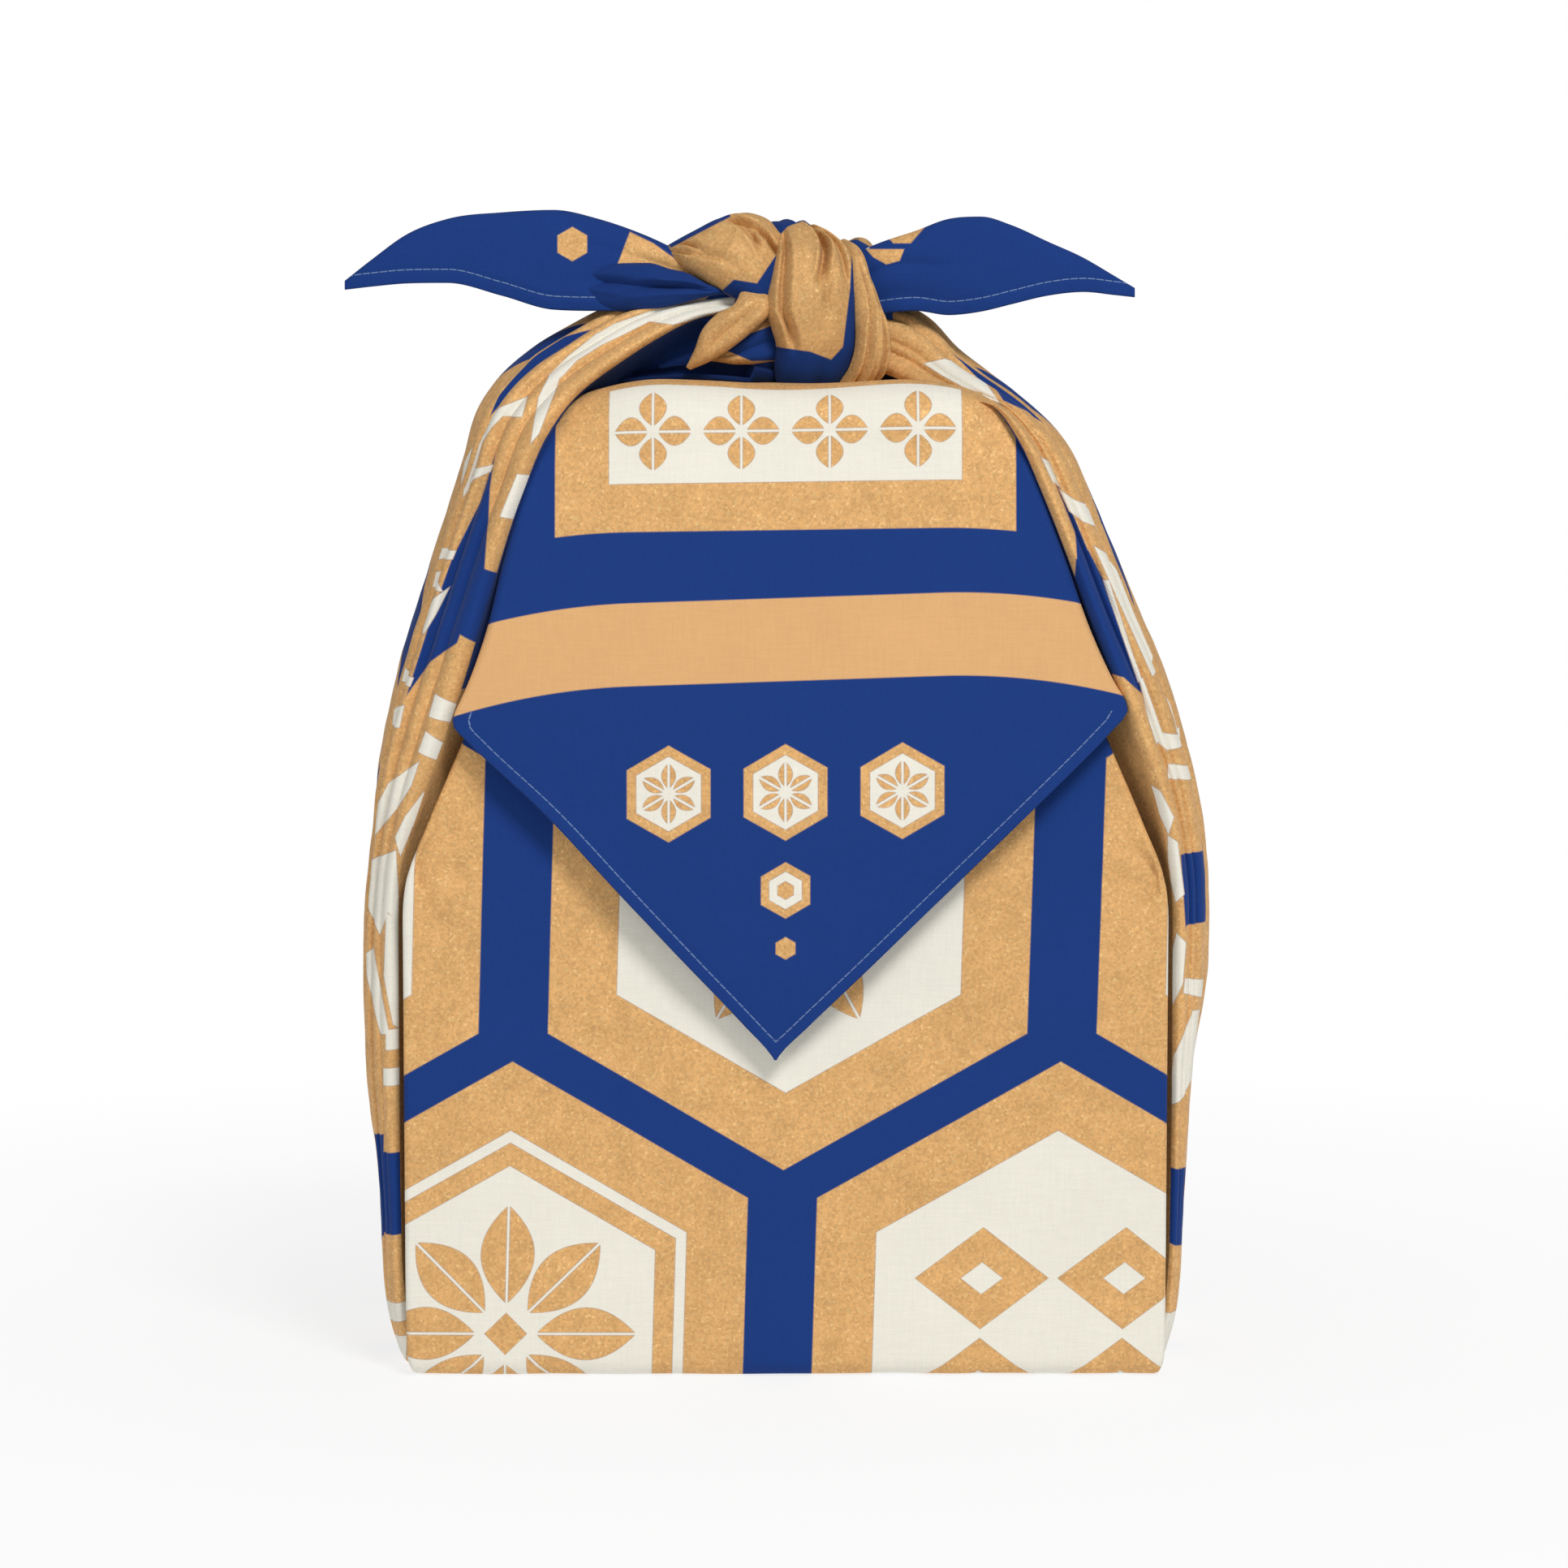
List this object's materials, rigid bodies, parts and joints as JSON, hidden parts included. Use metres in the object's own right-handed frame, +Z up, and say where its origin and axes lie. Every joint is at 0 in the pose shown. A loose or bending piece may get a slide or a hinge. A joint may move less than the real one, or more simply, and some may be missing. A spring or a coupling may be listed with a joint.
{
  "type": "furoshiki wrap",
  "caption": "Square of printed cotton wrapped round an upright bundle, with a pointed front flap, pleated shoulders and a square knot with two folded ears on top.",
  "frame": {"origin": "centre of the flat base on the surface it stands on", "axes": "+X to the right seen from the front, +Y from the front flap to the back, +Z up"},
  "size_m": [0.2902, 0.1271, 0.3836],
  "materials": {
    "printed_cotton": "plain-weave cotton printed in blue, gold and white, matt with fine glitter in the gold"
  },
  "bodies": {
    "root": {"furoshiki": "printed_cotton"}
  },
  "joints": []
}
